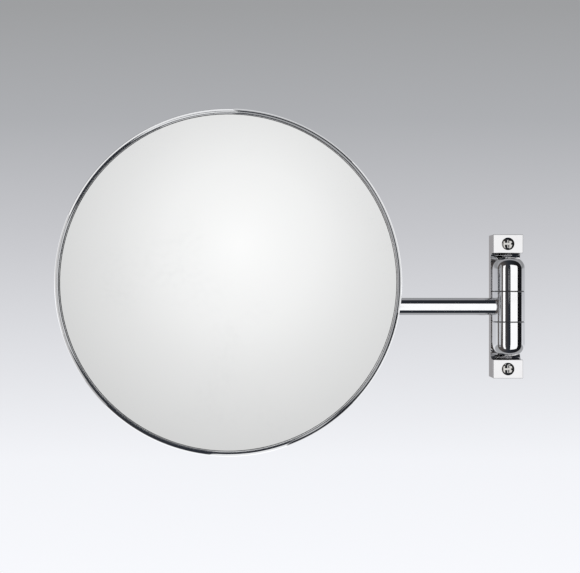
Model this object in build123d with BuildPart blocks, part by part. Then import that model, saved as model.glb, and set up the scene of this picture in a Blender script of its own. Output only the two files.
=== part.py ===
"""Wall-mounted swing-arm shaving mirror, in millimetres, one block for each piece.

The wall is the plane Y = 0, the room is on its -Y side and +Z is up. The origin is the centre of
the bracket's back. At rest the arm runs along the wall toward -X and the mirror faces -Y.
"""

import os
from math import radians, sqrt, tan

from build123d import *

os.makedirs("parts", exist_ok=True)

# Wall bracket: a bar with a recess between two end blocks
bracket_width = 20.9
bracket_height = 100.3
block_depth = 20.0
block_height = 13.0
plate_thickness = 7.0
recess_fillet = 5.0
bracket_edge = 0.4

# Wall screws: raised countersunk heads with a cross recess
wall_screw_head_d = 8.6
wall_screw_dome = 1.5
wall_screw_shank_d = 3.6
wall_screw_thread_d = 4.5
wall_screw_root_d = 3.3
wall_screw_hole_gap = 0.25
wall_screw_seat_gap = 0.1
wall_screw_pitch = 1.8
wall_screw_crest = 0.35
wall_screw_turns = 13
wall_screw_tip = 4.0
cross_span = 5.2
cross_width = 1.3
cross_depth = 2.6

# Barrel hinge: two fixed knuckles and the arm's knuckle on one pin
barrel_d = 22.2
barrel_back_gap = 4.9
barrel_end_gap = 3.0
barrel_end_fillet = 8.0
arm_knuckle_height = 20.6
seam_edge = 0.25
hinge_pin_d = 8.0
hinge_pin_cover = 7.0
pin_chamfer = 0.6
seat_width = 12.0
seat_foot_gap = 2.3
seat_head_gap = 7.0

# Knuckle screws: cap screws from the back of the bracket
knuckle_screw_d = 4.0
knuckle_screw_web = 2.4
knuckle_screw_head_d = 7.0
knuckle_screw_head_height = 4.0
knuckle_screw_key = 3.0
knuckle_screw_key_depth = 2.0
knuckle_screw_recess = 0.6
knuckle_screw_bore_gap = 0.3

# Bushes, washers and disc springs of the barrel hinge
bush_wall = 1.5
hinge_bush_length = 5.6
washer_thickness = 0.5
washer_inset = 0.6
hinge_spring_d = 16.0
hinge_spring_bore_gap = 0.3
hinge_spring_thickness = 0.8
hinge_spring_height = 1.3

# Arm: a tube brazed into sockets in the knuckles at its ends
arm_reach = 192.9
arm_tube_d = 12.0
arm_tube_wall = 1.5
socket_web = 1.2

# Swivel barrel at the arm's free end: the end knuckle below, the swivel knuckle above
swivel_d = 18.0
swivel_drop = 12.0
swivel_end_fillet = 6.5
swivel_thread_d = 6.0
swivel_thread_end = 0.95
swivel_pin_shoulder = 0.5
swivel_pin_cover = 4.75
swivel_bush_length = 6.6
swivel_cap_edge = 0.6
swivel_cap_fillet = 4.4
swivel_cap_gap = 0.8
swivel_cap_spigot = 1.0
swivel_spring_thickness = 0.6
swivel_spring_height = 0.9
swivel_nut_flats = 10.0
swivel_nut_height = 4.0

# Tilt barrel behind the mirror: an eye on the swivel knuckle between two lugs of the hub
mirror_rise = 16.5
stem_length = 3.5
stem_d = 10.0
tilt_barrel_d = 16.0
tilt_eye_width = 14.0
tilt_bolt_d = 6.0
tilt_bolt_head_d = 10.0
tilt_bolt_head_height = 3.6
tilt_bolt_key = 4.0
tilt_bolt_key_depth = 2.0
tilt_bolt_recess = 0.4
tilt_bush_length = 5.0
tilt_bush_inset = 0.1
tilt_lug_width = 10.0
tilt_lug_edge = 1.0
tilt_nut_flats = 10.0
tilt_nut_height = 3.2
tilt_nut_recess = 1.0
tilt_spring_thickness = 0.6
tilt_spring_height = 0.9

# Mirror hub and the screws that hold it to the back cover
hub_flange_thickness = 3.5
hub_flange_edge = 0.8
hub_gap = 1.6
hub_screw_d = 4.0
hub_screw_head_d = 7.6
hub_screw_lug_gap = 2.0
hub_screw_margin = 2.7
hub_screw_cross_span = 4.4
hub_screw_cross_width = 1.0
hub_screw_cross_depth = 1.4
hub_screw_seat_gap = 0.1
hub_plate_inset = 1.0
hub_plate_thickness = 1.5

# Mirror: concave glass bedded between a bead rim and a spun back cover
mirror_d = 230.0
rim_lip_width = 3.5
rim_lip_thickness = 1.9
rim_nose_flat = 0.1
rim_front_flat = 1.0
rim_wall = 1.4
rim_crimp_width = 4.5
rim_crimp_thickness = 1.0
rim_crimp_fillet = 0.8
glass_radius_of_curvature = 1200.0
glass_thickness = 3.0
glass_edge_gap = 0.4
gasket_thickness = 0.5
gasket_proud = 0.2
pad_thickness = 1.0
pad_inset = 6.5
cord_width = 4.2
cord_thickness = 1.8
dish_thickness = 1.0
dish_flat_margin = 3.0

# Clearances and forms shared by several pieces
countersink_angle = 90.0
hex_sides = 6
nut_corner_gap = 0.5
well_spring_gap = 0.3
running_gap = 0.04
press_gap = 0.02
socket_gap = 0.05
spring_play = 0.05
bedding_gap = 0.1

# Sizes and places that follow from the ones above
barrel_r = barrel_d / 2
hinge_pin_r = hinge_pin_d / 2
arm_tube_r = arm_tube_d / 2
swivel_r = swivel_d / 2
tilt_r = tilt_barrel_d / 2
recess_depth = block_depth - plate_thickness
recess_height = bracket_height - 2 * block_height
wall_screw_spacing = bracket_height - block_height
wall_screw_hole_r = wall_screw_thread_d / 2 + wall_screw_hole_gap
screw_rises = (-wall_screw_spacing / 2, wall_screw_spacing / 2)
countersink_slope = tan(radians(countersink_angle / 2))
barrel_height = recess_height - 2 * barrel_end_gap
hinge_reach = plate_thickness + barrel_back_gap + barrel_r
hinge_axis = (0, -hinge_reach)
arm_knuckle_top = arm_knuckle_height / 2
fixed_knuckle_foot = arm_knuckle_top + washer_thickness
fixed_knuckle_height = barrel_height / 2 - fixed_knuckle_foot
seat_length = fixed_knuckle_height - seat_foot_gap - seat_head_gap
seat_rise = fixed_knuckle_foot + seat_foot_gap + seat_length / 2
knuckle_screw_counterbore = knuckle_screw_head_height + knuckle_screw_recess
knuckle_screw_depth = hinge_reach - hinge_pin_r - knuckle_screw_web
knuckle_screw_length = knuckle_screw_depth - knuckle_screw_counterbore
hinge_pin_top = barrel_height / 2 - hinge_pin_cover
hinge_bush_d = hinge_pin_d + 2 * bush_wall
hinge_spring_bore = hinge_pin_d + 2 * hinge_spring_bore_gap
washer_r = barrel_r - washer_inset
socket_r = arm_tube_r + socket_gap
arm_tube_start = hinge_bush_d / 2 + socket_web
swivel_pin_d = swivel_thread_d + 2 * swivel_pin_shoulder
swivel_bush_d = swivel_pin_d + 2 * bush_wall
swivel_well_d = 2 * (swivel_nut_flats / sqrt(3) + nut_corner_gap)
swivel_spring_d = swivel_well_d - 2 * well_spring_gap
swivel_spring_stack = spring_play + 2 * swivel_spring_height
swivel_thread_length = swivel_spring_stack + swivel_nut_height + swivel_thread_end
swivel_well_depth = swivel_thread_length + swivel_cap_gap + swivel_cap_spigot
swivel_cap_height = swivel_cap_fillet + swivel_cap_edge
arm_tube_end = arm_reach - swivel_pin_d / 2 - socket_web
swivel_axis = (-arm_reach, -hinge_reach)
swivel_seam = mirror_rise / 2
end_knuckle_top = swivel_seam - washer_thickness / 2
swivel_knuckle_foot = swivel_seam + washer_thickness / 2
swivel_shelf = swivel_knuckle_foot + swivel_bush_length
swivel_knuckle_top = swivel_shelf + swivel_well_depth
swivel_pin_foot = swivel_pin_cover - swivel_drop
swivel_springs_top = swivel_shelf + swivel_spring_stack
stem_reach = swivel_r + stem_length + tilt_r
tilt_y = -hinge_reach - stem_reach
tilt_bush_d = tilt_bolt_d + 2 * bush_wall
tilt_bolt_well_depth = tilt_bolt_head_height + tilt_bolt_recess
tilt_well_d = 2 * (tilt_nut_flats / sqrt(3) + nut_corner_gap)
tilt_spring_d = tilt_well_d - 2 * well_spring_gap
tilt_spring_stack = 2 * spring_play + tilt_spring_height
tilt_well_depth = tilt_spring_stack + tilt_nut_height + tilt_nut_recess
lug_start = tilt_eye_width / 2 + washer_thickness
lug_end = lug_start + tilt_lug_width
hub_screw_spacing = 2 * (tilt_r + hub_screw_lug_gap) + hub_screw_head_d
hub_flange_d = hub_screw_spacing * sqrt(2) + hub_screw_head_d + 2 * hub_screw_margin
hub_plate_d = hub_flange_d - 2 * hub_plate_inset
flange_back = tilt_y - tilt_r - hub_gap
dish_back = flange_back - hub_flange_thickness
dish_inside = dish_back - dish_thickness
pad_back = dish_inside - hub_plate_thickness
glass_back = pad_back - pad_thickness
glass_front = glass_back - glass_thickness
rim_r = mirror_d / 2
rim_nose_fillet = rim_lip_thickness / 2 - rim_nose_flat
rim_front_fillet = rim_lip_width - rim_nose_fillet - rim_front_flat
rim_inner_r = rim_r - rim_wall
lip_r = rim_r - rim_lip_width
glass_r = rim_inner_r - glass_edge_gap
cord_r = glass_r - cord_width


def sag(curvature, radius):
    """Depth of a sphere's cap at a distance from its axis."""
    return curvature - sqrt(curvature**2 - radius**2)


glass_back_curvature = glass_radius_of_curvature + glass_thickness
glass_edge_front = glass_front - sag(glass_radius_of_curvature, glass_r)
glass_edge_back = glass_back - sag(glass_back_curvature, glass_r)
lip_back = glass_edge_front - gasket_thickness
rim_front = lip_back - rim_lip_thickness
cord_front = glass_back - sag(glass_back_curvature, cord_r) + bedding_gap
dish_edge_front = cord_front + cord_thickness
dish_edge_back = dish_edge_front + dish_thickness
rim_back = dish_edge_back + rim_crimp_thickness

# Every revolved mirror piece is drawn on this plane, with its radius along X and its depth along Y
mirror_plane = Plane((-arm_reach, 0, mirror_rise))
mirror_axis = Axis((-arm_reach, 0, mirror_rise), (0, 1, 0))


def facing(direction, x, y, z):
    """A plane at a point, whose normal runs along the given axis and whose own X lies level."""
    level = (0, 1, 0) if direction[0] else (1, 0, 0)
    return Plane((x, y, z), x_dir=level, z_dir=direction)


def disc_spring(axis_place, foot, outer_d, bore_d, thickness, height):
    """A conical disc spring on a vertical axis, its wide edge down."""
    x, y = axis_place
    rise = height - thickness
    with BuildPart() as spring:
        with BuildSketch(facing((0, -1, 0), x, y, foot)):
            with BuildLine():
                Polyline(
                    (outer_d / 2, 0),
                    (outer_d / 2, thickness),
                    (bore_d / 2, thickness + rise),
                    (bore_d / 2, rise),
                    close=True,
                )
            make_face()
        revolve(axis=Axis((x, y, foot), (0, 0, 1)))
    return spring.part


# Wall bracket
with BuildPart() as wall_bracket:
    with BuildSketch(Plane.YZ.offset(-bracket_width / 2)) as bracket_side:
        with Locations((-block_depth / 2, 0)):
            Rectangle(block_depth, bracket_height)
        with Locations((-plate_thickness - recess_depth / 2, 0)):
            Rectangle(recess_depth, recess_height, mode=Mode.SUBTRACT)
        fillet(bracket_side.vertices().group_by(Axis.X)[1], recess_fillet)
    extrude(amount=bracket_width)
    bracket_back = wall_bracket.faces().sort_by(Axis.Y)[-1]
    sharp_edges = wall_bracket.edges() - bracket_back.edges()
    hollow_edges = sharp_edges.filter_by(Axis.X).filter_by_position(
        Axis.Y, -plate_thickness - recess_fillet, -plate_thickness
    )
    fillet(sharp_edges - hollow_edges, bracket_edge)
    with Locations(*[facing((0, -1, 0), 0, -block_depth, rise) for rise in screw_rises]):
        CounterSinkHole(
            radius=wall_screw_hole_r,
            counter_sink_radius=wall_screw_head_d / 2 + wall_screw_seat_gap,
            depth=block_depth,
            counter_sink_angle=countersink_angle,
        )
    with Locations(*[facing((0, 1, 0), 0, 0, rise) for rise in (-seat_rise, seat_rise)]):
        CounterBoreHole(
            radius=knuckle_screw_d / 2 + knuckle_screw_bore_gap,
            counter_bore_radius=knuckle_screw_head_d / 2 + knuckle_screw_bore_gap,
            counter_bore_depth=knuckle_screw_counterbore,
            depth=plate_thickness,
        )
wall_bracket.part.label = "wall_bracket"
export_step(wall_bracket.part, "parts/wall_bracket.step")

# Wall screws, each with a plain shank in the bracket and its thread behind the wall plane
thread_profile = []
for turn in range(wall_screw_turns):
    crest_start = wall_screw_crest + turn * wall_screw_pitch
    thread_profile.append((wall_screw_root_d / 2, crest_start - wall_screw_crest))
    thread_profile.append((wall_screw_thread_d / 2, crest_start))
    thread_profile.append((wall_screw_thread_d / 2, crest_start + wall_screw_crest))
    thread_profile.append((wall_screw_root_d / 2, crest_start + 2 * wall_screw_crest))
thread_end = wall_screw_turns * wall_screw_pitch
head_r = wall_screw_head_d / 2
shank_r = wall_screw_shank_d / 2
with BuildPart() as wall_screw:
    with BuildSketch(Plane.XY):
        with BuildLine():
            dome_r = (head_r**2 + wall_screw_dome**2) / (2 * wall_screw_dome)
            dome_half = head_r / 2
            ThreePointArc(
                (0, -block_depth - wall_screw_dome),
                (dome_half, -block_depth - wall_screw_dome + sag(dome_r, dome_half)),
                (head_r, -block_depth),
            )
            Polyline(
                (head_r, -block_depth),
                (shank_r, -block_depth + (head_r - shank_r) / countersink_slope),
                (shank_r, -wall_screw_crest),
                *thread_profile,
                (wall_screw_root_d / 2, thread_end),
                (0, thread_end + wall_screw_tip),
                (0, -block_depth - wall_screw_dome),
            )
        make_face()
    revolve(axis=Axis.Y)
    with BuildSketch(facing((0, 1, 0), 0, -block_depth - wall_screw_dome, 0)):
        Rectangle(cross_span, cross_width)
        Rectangle(cross_width, cross_span)
    extrude(amount=cross_depth, mode=Mode.SUBTRACT)
with BuildPart() as wall_screws:
    with Locations(*[(0, 0, rise) for rise in screw_rises]):
        add(wall_screw.part)
wall_screws.part.label = "wall_screws"
export_step(wall_screws.part, "parts/wall_screws.step")

# Fixed knuckles of the barrel hinge, each with a seat on the bracket's recess
with BuildPart() as fixed_knuckle:
    with BuildSketch(Plane((*hinge_axis, fixed_knuckle_foot))):
        Circle(barrel_r)
    extrude(amount=fixed_knuckle_height)
    fillet(fixed_knuckle.faces().sort_by(Axis.Z)[-1].edges(), barrel_end_fillet)
    fillet(fixed_knuckle.faces().sort_by(Axis.Z)[0].edges(), seam_edge)
    with BuildSketch(facing((0, -1, 0), 0, -plate_thickness, seat_rise)):
        Rectangle(seat_width, seat_length)
    extrude(amount=hinge_reach - plate_thickness)
    with Locations(facing((0, 0, -1), *hinge_axis, fixed_knuckle_foot)):
        Hole(hinge_pin_r + press_gap, depth=hinge_pin_top - fixed_knuckle_foot)
    with Locations(facing((0, 1, 0), 0, -plate_thickness, seat_rise)):
        Hole(knuckle_screw_d / 2 + press_gap, depth=knuckle_screw_depth - plate_thickness)
with BuildPart() as upper_knuckle:
    add(fixed_knuckle.part)
    with Locations(facing((0, 0, -1), *hinge_axis, fixed_knuckle_foot)):
        Hole(hinge_spring_d / 2 + bedding_gap, depth=hinge_spring_height + 2 * spring_play)
upper_knuckle.part.label = "upper_knuckle"
export_step(upper_knuckle.part, "parts/upper_knuckle.step")

with BuildPart() as lower_knuckle:
    mirror(fixed_knuckle.part, about=Plane.XY)
lower_knuckle.part.label = "lower_knuckle"
export_step(lower_knuckle.part, "parts/lower_knuckle.step")

# Knuckle screws, entered from the back of the bracket
with BuildPart() as knuckle_screw:
    with BuildSketch(facing((0, -1, 0), 0, -knuckle_screw_counterbore, 0)):
        Circle(knuckle_screw_d / 2)
    extrude(amount=knuckle_screw_length)
    with BuildSketch(facing((0, 1, 0), 0, -knuckle_screw_counterbore, 0)):
        Circle(knuckle_screw_head_d / 2)
    extrude(amount=knuckle_screw_head_height)
    head_face = knuckle_screw.faces().sort_by(Axis.Y)[-1]
    fillet(head_face.edges(), knuckle_screw_bore_gap)
    with BuildSketch(facing((0, -1, 0), 0, knuckle_screw_head_height - knuckle_screw_counterbore, 0)):
        RegularPolygon(knuckle_screw_key / 2, hex_sides, major_radius=False)
    extrude(amount=knuckle_screw_key_depth, mode=Mode.SUBTRACT)
with BuildPart() as knuckle_screws:
    with Locations((0, 0, -seat_rise), (0, 0, seat_rise)):
        add(knuckle_screw.part)
knuckle_screws.part.label = "knuckle_screws"
export_step(knuckle_screws.part, "parts/knuckle_screws.step")

# Hinge pin, held in both fixed knuckles
with BuildPart() as hinge_pin:
    with BuildSketch(Plane((*hinge_axis, -hinge_pin_top))):
        Circle(hinge_pin_r)
    extrude(amount=2 * hinge_pin_top)
    chamfer(hinge_pin.edges().filter_by(GeomType.CIRCLE), pin_chamfer)
hinge_pin.part.label = "hinge_pin"
export_step(hinge_pin.part, "parts/hinge_pin.step")

# Disc spring in the upper knuckle's pocket, pressing on the upper washer
hinge_spring = disc_spring(
    hinge_axis,
    fixed_knuckle_foot + spring_play,
    hinge_spring_d,
    hinge_spring_bore,
    hinge_spring_thickness,
    hinge_spring_height,
)
hinge_spring.label = "hinge_spring"
export_step(hinge_spring, "parts/hinge_spring.step")

# Arm knuckle, the turning middle of the barrel, with the socket for the tube
with BuildPart() as arm_knuckle:
    with BuildSketch(Plane((*hinge_axis, -arm_knuckle_top))):
        Circle(barrel_r)
    extrude(amount=arm_knuckle_height)
    fillet(arm_knuckle.edges().filter_by(GeomType.CIRCLE), seam_edge)
    with Locations((*hinge_axis, arm_knuckle_top)):
        Hole(hinge_bush_d / 2 + press_gap, depth=arm_knuckle_height)
    with BuildSketch(facing((-1, 0, 0), -arm_tube_start, -hinge_reach, 0)):
        Circle(socket_r)
    extrude(amount=barrel_r, mode=Mode.SUBTRACT)
arm_knuckle.part.label = "arm_knuckle"
export_step(arm_knuckle.part, "parts/arm_knuckle.step")

# Bronze bushes at both ends of the arm knuckle's bore
with BuildPart() as hinge_bushes:
    for bush_foot in (-arm_knuckle_top, arm_knuckle_top - hinge_bush_length):
        with BuildSketch(Plane((*hinge_axis, bush_foot))):
            Circle(hinge_bush_d / 2)
            Circle(hinge_pin_r + running_gap, mode=Mode.SUBTRACT)
        extrude(amount=hinge_bush_length)
hinge_bushes.part.label = "hinge_bushes"
export_step(hinge_bushes.part, "parts/hinge_bushes.step")

# Nylon washers that show as the two dark seams of the barrel
with BuildPart() as hinge_washers:
    for washer_foot in (-fixed_knuckle_foot, arm_knuckle_top):
        with BuildSketch(Plane((*hinge_axis, washer_foot))):
            Circle(washer_r)
            Circle(hinge_pin_r + running_gap, mode=Mode.SUBTRACT)
        extrude(amount=washer_thickness)
hinge_washers.part.label = "hinge_washers"
export_step(hinge_washers.part, "parts/hinge_washers.step")

# Arm tube, seated on the floors of both sockets
with BuildPart() as arm_tube:
    with BuildSketch(facing((-1, 0, 0), -arm_tube_start, -hinge_reach, 0)):
        Circle(arm_tube_r)
        Circle(arm_tube_r - arm_tube_wall, mode=Mode.SUBTRACT)
    extrude(amount=arm_tube_end - arm_tube_start)
arm_tube.part.label = "arm_tube"
export_step(arm_tube.part, "parts/arm_tube.step")

# End knuckle, brazed to the arm's free end
with BuildPart() as end_knuckle:
    with BuildSketch(Plane((*swivel_axis, -swivel_drop))):
        Circle(swivel_r)
    extrude(amount=swivel_drop + end_knuckle_top)
    fillet(end_knuckle.faces().sort_by(Axis.Z)[0].edges(), swivel_end_fillet)
    fillet(end_knuckle.faces().sort_by(Axis.Z)[-1].edges(), seam_edge)
    with Locations((*swivel_axis, end_knuckle_top)):
        Hole(swivel_pin_d / 2 + press_gap, depth=end_knuckle_top - swivel_pin_foot)
    with BuildSketch(facing((1, 0, 0), -arm_tube_end, -hinge_reach, 0)):
        Circle(socket_r)
    extrude(amount=swivel_r, mode=Mode.SUBTRACT)
end_knuckle.part.label = "end_knuckle"
export_step(end_knuckle.part, "parts/end_knuckle.step")

# Swivel pin, pressed into the end knuckle and threaded at its top
with BuildPart() as swivel_pin:
    with BuildSketch(Plane((*swivel_axis, swivel_pin_foot))):
        Circle(swivel_pin_d / 2)
    extrude(amount=swivel_shelf - swivel_pin_foot)
    with BuildSketch(Plane((*swivel_axis, swivel_shelf))):
        Circle(swivel_thread_d / 2)
    extrude(amount=swivel_thread_length)
    pin_ends = swivel_pin.edges().filter_by(GeomType.CIRCLE).sort_by(Axis.Z)
    chamfer([pin_ends[0], pin_ends[-1]], pin_chamfer)
swivel_pin.part.label = "swivel_pin"
export_step(swivel_pin.part, "parts/swivel_pin.step")

# Disc springs under the swivel nut, stacked edge to edge
swivel_spring_bore = swivel_thread_d + 2 * bedding_gap
with BuildPart() as swivel_springs:
    lower_spring = disc_spring(
        swivel_axis,
        swivel_shelf + spring_play,
        swivel_spring_d,
        swivel_spring_bore,
        swivel_spring_thickness,
        swivel_spring_height,
    )
    add(lower_spring)
    mirror(lower_spring, about=Plane.XY.offset(swivel_shelf + spring_play + swivel_spring_height))
swivel_springs.part.label = "swivel_springs"
export_step(swivel_springs.part, "parts/swivel_springs.step")

# Swivel nut on the pin's thread
with BuildPart() as swivel_nut:
    with BuildSketch(Plane((*swivel_axis, swivel_springs_top))):
        RegularPolygon(swivel_nut_flats / 2, hex_sides, major_radius=False)
        Circle(swivel_thread_d / 2 + press_gap, mode=Mode.SUBTRACT)
    extrude(amount=swivel_nut_height)
swivel_nut.part.label = "swivel_nut"
export_step(swivel_nut.part, "parts/swivel_nut.step")

# Swivel washer in the seam of the swivel barrel
with BuildPart() as swivel_washer:
    with BuildSketch(Plane((*swivel_axis, end_knuckle_top))):
        Circle(swivel_r - washer_inset)
        Circle(swivel_pin_d / 2 + running_gap, mode=Mode.SUBTRACT)
    extrude(amount=washer_thickness)
swivel_washer.part.label = "swivel_washer"
export_step(swivel_washer.part, "parts/swivel_washer.step")

# Swivel knuckle with its stem and the tilt eye
with BuildPart() as swivel_knuckle:
    with BuildSketch(Plane((*swivel_axis, swivel_knuckle_foot))):
        Circle(swivel_r)
    extrude(amount=swivel_knuckle_top - swivel_knuckle_foot)
    fillet(swivel_knuckle.edges().filter_by(GeomType.CIRCLE), seam_edge)
    with BuildSketch(facing((1, 0, 0), -arm_reach - tilt_eye_width / 2, tilt_y, mirror_rise)):
        Circle(tilt_r)
    extrude(amount=tilt_eye_width)
    with BuildSketch(facing((0, -1, 0), -arm_reach, -hinge_reach, mirror_rise)):
        Circle(stem_d / 2)
    extrude(amount=stem_reach)
    with Locations((*swivel_axis, swivel_knuckle_top)):
        CounterBoreHole(
            radius=swivel_bush_d / 2 + press_gap,
            counter_bore_radius=swivel_well_d / 2,
            counter_bore_depth=swivel_well_depth,
            depth=swivel_knuckle_top - swivel_knuckle_foot,
        )
    with Locations(facing((1, 0, 0), -arm_reach + tilt_eye_width / 2, tilt_y, mirror_rise)):
        Hole(tilt_bush_d / 2 + press_gap, depth=tilt_eye_width)
swivel_knuckle.part.label = "swivel_knuckle"
export_step(swivel_knuckle.part, "parts/swivel_knuckle.step")

# Bronze bush between the swivel knuckle and its pin
with BuildPart() as swivel_bush:
    with BuildSketch(Plane((*swivel_axis, swivel_knuckle_foot))):
        Circle(swivel_bush_d / 2)
        Circle(swivel_pin_d / 2 + running_gap, mode=Mode.SUBTRACT)
    extrude(amount=swivel_bush_length)
swivel_bush.part.label = "swivel_bush"
export_step(swivel_bush.part, "parts/swivel_bush.step")

# Rounded cap pressed into the well over the swivel nut
with BuildPart() as swivel_cap:
    with BuildSketch(Plane((*swivel_axis, swivel_knuckle_top))):
        Circle(swivel_r)
    extrude(amount=swivel_cap_height)
    fillet(swivel_cap.faces().sort_by(Axis.Z)[-1].edges(), swivel_cap_fillet)
    fillet(swivel_cap.faces().sort_by(Axis.Z)[0].edges(), seam_edge)
    with BuildSketch(Plane((*swivel_axis, swivel_knuckle_top - swivel_cap_spigot))):
        Circle(swivel_well_d / 2 - press_gap)
    extrude(amount=swivel_cap_spigot)
swivel_cap.part.label = "swivel_cap"
export_step(swivel_cap.part, "parts/swivel_cap.step")

# Bronze bushes in both ends of the tilt eye, set in a little so that the washers run on the eye
tilt_bush_end = tilt_eye_width / 2 - tilt_bush_inset
with BuildPart() as tilt_bushes:
    for bush_start in (-tilt_bush_end, tilt_bush_end - tilt_bush_length):
        with BuildSketch(facing((1, 0, 0), -arm_reach + bush_start, tilt_y, mirror_rise)):
            Circle(tilt_bush_d / 2)
            Circle(tilt_bolt_d / 2 + running_gap, mode=Mode.SUBTRACT)
        extrude(amount=tilt_bush_length)
tilt_bushes.part.label = "tilt_bushes"
export_step(tilt_bushes.part, "parts/tilt_bushes.step")

# Mirror hub: a flange on the back cover and two lugs beside the tilt eye
hub_face = facing((0, 1, 0), -arm_reach, flange_back, mirror_rise)
with BuildPart() as mirror_hub:
    with BuildSketch(hub_face):
        Circle(hub_flange_d / 2)
    extrude(amount=-hub_flange_thickness)
    fillet(mirror_hub.faces().sort_by(Axis.Y)[-1].edges(), hub_flange_edge)
    for lug_place in (-lug_end, lug_start):
        with BuildSketch(Plane.YZ.offset(-arm_reach + lug_place)):
            with Locations((tilt_y, mirror_rise)):
                Circle(tilt_r)
            with Locations(((tilt_y + flange_back) / 2, mirror_rise)):
                Rectangle(tilt_y - flange_back, tilt_barrel_d)
        extrude(amount=tilt_lug_width)
    lug_ends = mirror_hub.edges().filter_by(GeomType.CIRCLE).filter_by(
        lambda edge: abs(edge.radius - tilt_r) < press_gap
    )
    fillet([lug_ends.sort_by(Axis.X)[0], lug_ends.sort_by(Axis.X)[-1]], tilt_lug_edge)
    with Locations(facing((1, 0, 0), -arm_reach + lug_end, tilt_y, mirror_rise)):
        CounterBoreHole(
            radius=tilt_bolt_d / 2 + press_gap,
            counter_bore_radius=tilt_well_d / 2,
            counter_bore_depth=tilt_well_depth,
            depth=2 * lug_end,
        )
    with Locations(facing((-1, 0, 0), -arm_reach - lug_end, tilt_y, mirror_rise)):
        Hole(tilt_bolt_head_d / 2 + bedding_gap, depth=tilt_bolt_well_depth)
    with Locations(hub_face):
        with GridLocations(hub_screw_spacing, hub_screw_spacing, 2, 2):
            CounterSinkHole(
                radius=hub_screw_d / 2 + bedding_gap,
                counter_sink_radius=hub_screw_head_d / 2 + hub_screw_seat_gap,
                depth=hub_flange_thickness,
                counter_sink_angle=countersink_angle,
            )
mirror_hub.part.label = "mirror_hub"
export_step(mirror_hub.part, "parts/mirror_hub.step")

# Tilt bolt, its head in the left lug and its thread in the right one
tilt_bolt_seat = -lug_end + tilt_bolt_well_depth
tilt_bolt_tip = lug_end - tilt_nut_recess
with BuildPart() as tilt_bolt:
    with BuildSketch(facing((1, 0, 0), -arm_reach + tilt_bolt_seat, tilt_y, mirror_rise)):
        Circle(tilt_bolt_d / 2)
    extrude(amount=tilt_bolt_tip - tilt_bolt_seat)
    chamfer(tilt_bolt.faces().sort_by(Axis.X)[-1].edges(), pin_chamfer)
    with BuildSketch(facing((-1, 0, 0), -arm_reach + tilt_bolt_seat, tilt_y, mirror_rise)):
        Circle(tilt_bolt_head_d / 2)
    extrude(amount=tilt_bolt_head_height)
    bolt_head = tilt_bolt.faces().sort_by(Axis.X)[0]
    fillet(bolt_head.edges(), seam_edge)
    with BuildSketch(
        facing((1, 0, 0), -arm_reach + tilt_bolt_seat - tilt_bolt_head_height, tilt_y, mirror_rise)
    ):
        RegularPolygon(tilt_bolt_key / 2, hex_sides, major_radius=False)
    extrude(amount=tilt_bolt_key_depth, mode=Mode.SUBTRACT)
tilt_bolt.part.label = "tilt_bolt"
export_step(tilt_bolt.part, "parts/tilt_bolt.step")

# Disc spring under the tilt nut
tilt_spring_start = lug_end - tilt_well_depth + spring_play
tilt_spring_rise = tilt_spring_height - tilt_spring_thickness
tilt_spring_bore_r = tilt_bolt_d / 2 + bedding_gap
with BuildPart() as tilt_spring:
    with BuildSketch(Plane((-arm_reach, tilt_y, mirror_rise))):
        with BuildLine():
            Polyline(
                (tilt_spring_start, tilt_spring_d / 2),
                (tilt_spring_start + tilt_spring_thickness, tilt_spring_d / 2),
                (tilt_spring_start + tilt_spring_height, tilt_spring_bore_r),
                (tilt_spring_start + tilt_spring_rise, tilt_spring_bore_r),
                close=True,
            )
        make_face()
    revolve(axis=Axis((-arm_reach, tilt_y, mirror_rise), (1, 0, 0)))
tilt_spring.part.label = "tilt_spring"
export_step(tilt_spring.part, "parts/tilt_spring.step")

# Tilt nut in the right lug's well
tilt_nut_start = tilt_spring_start + tilt_spring_height
with BuildPart() as tilt_nut:
    with BuildSketch(facing((1, 0, 0), -arm_reach + tilt_nut_start, tilt_y, mirror_rise)):
        RegularPolygon(tilt_nut_flats / 2, hex_sides, major_radius=False)
        Circle(tilt_bolt_d / 2 + press_gap, mode=Mode.SUBTRACT)
    extrude(amount=tilt_nut_height)
tilt_nut.part.label = "tilt_nut"
export_step(tilt_nut.part, "parts/tilt_nut.step")

# Nylon washers between the tilt eye and the lugs
with BuildPart() as tilt_washers:
    for washer_start in (-lug_start, tilt_eye_width / 2):
        with BuildSketch(facing((1, 0, 0), -arm_reach + washer_start, tilt_y, mirror_rise)):
            Circle(tilt_r - washer_inset)
            Circle(tilt_bolt_d / 2 + running_gap, mode=Mode.SUBTRACT)
        extrude(amount=washer_thickness)
tilt_washers.part.label = "tilt_washers"
export_step(tilt_washers.part, "parts/tilt_washers.step")

# Hub screws, through the flange and the back cover into the plate inside
hub_screw_length = hub_flange_thickness + dish_thickness + hub_plate_thickness
hub_screw_head = (hub_screw_head_d - hub_screw_d) / 2 / countersink_slope
with BuildPart() as hub_screw:
    with BuildSketch(Plane.XZ):
        with BuildLine():
            Polyline(
                (0, 0),
                (hub_screw_head_d / 2, 0),
                (hub_screw_d / 2, -hub_screw_head),
                (hub_screw_d / 2, -hub_screw_length),
                (0, -hub_screw_length),
                close=True,
            )
        make_face()
    revolve(axis=Axis.Z)
    with BuildSketch(Plane.XY):
        Rectangle(hub_screw_cross_span, hub_screw_cross_width)
        Rectangle(hub_screw_cross_width, hub_screw_cross_span)
    extrude(amount=-hub_screw_cross_depth, mode=Mode.SUBTRACT)
with BuildPart() as hub_screws:
    with Locations(hub_face):
        with GridLocations(hub_screw_spacing, hub_screw_spacing, 2, 2):
            add(hub_screw.part)
hub_screws.part.label = "hub_screws"
export_step(hub_screws.part, "parts/hub_screws.step")

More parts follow.
